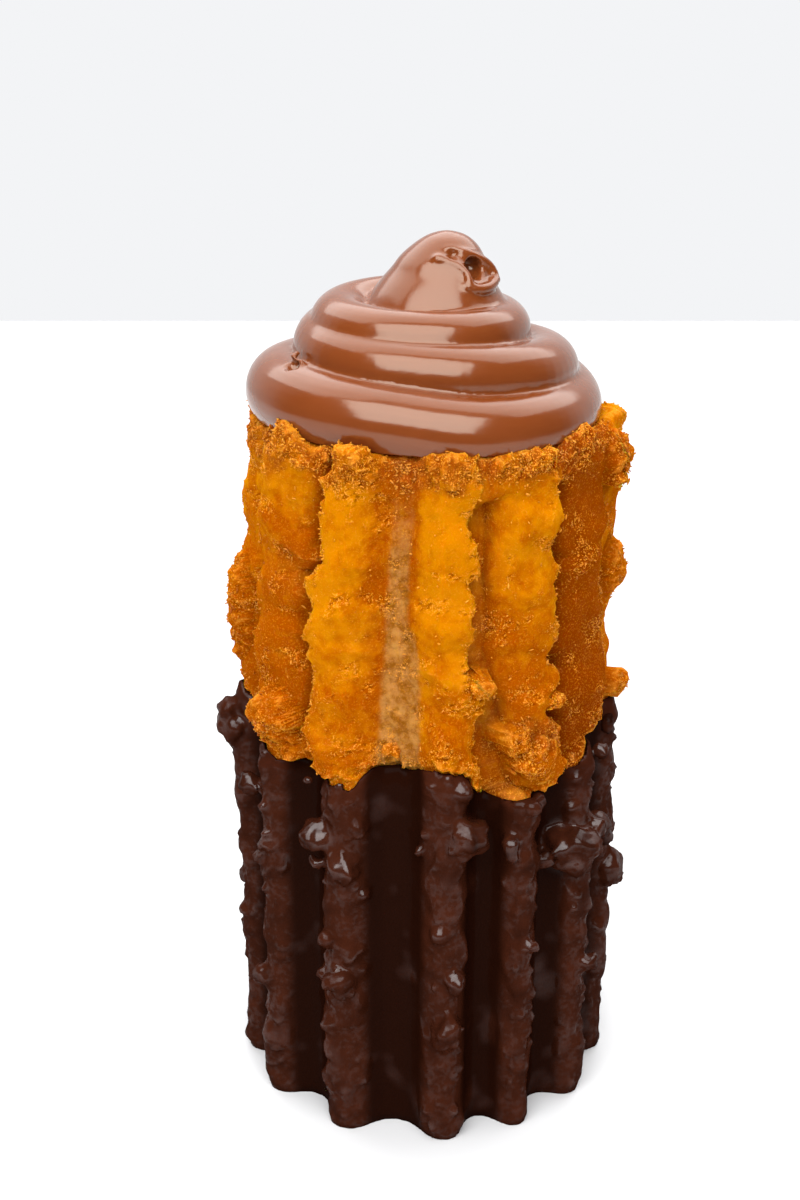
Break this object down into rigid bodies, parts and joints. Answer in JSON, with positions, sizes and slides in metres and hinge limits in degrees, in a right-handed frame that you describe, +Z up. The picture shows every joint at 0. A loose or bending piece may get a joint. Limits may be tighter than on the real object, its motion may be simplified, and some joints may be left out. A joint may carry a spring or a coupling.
{
  "type": "churro",
  "caption": "Thick ribbed fried dough bar, its lower half dipped in dark chocolate, with a piped chocolate cream swirl on top, standing on its dipped end.",
  "frame": {"origin": "middle of the flat dipped foot", "axes": "+Z up along the bar, -Y towards the shown front, +X to the right seen from the front"},
  "size_m": [0.0568, 0.0554, 0.1187],
  "materials": {
    "fried_dough": "crisp fried dough",
    "dark_chocolate": "set dark chocolate",
    "chocolate_cream": "glossy piped chocolate cream"
  },
  "bodies": {
    "root": {"dough": "fried_dough", "chocolate_dip": "dark_chocolate", "chocolate_swirl": "chocolate_cream"}
  },
  "joints": []
}
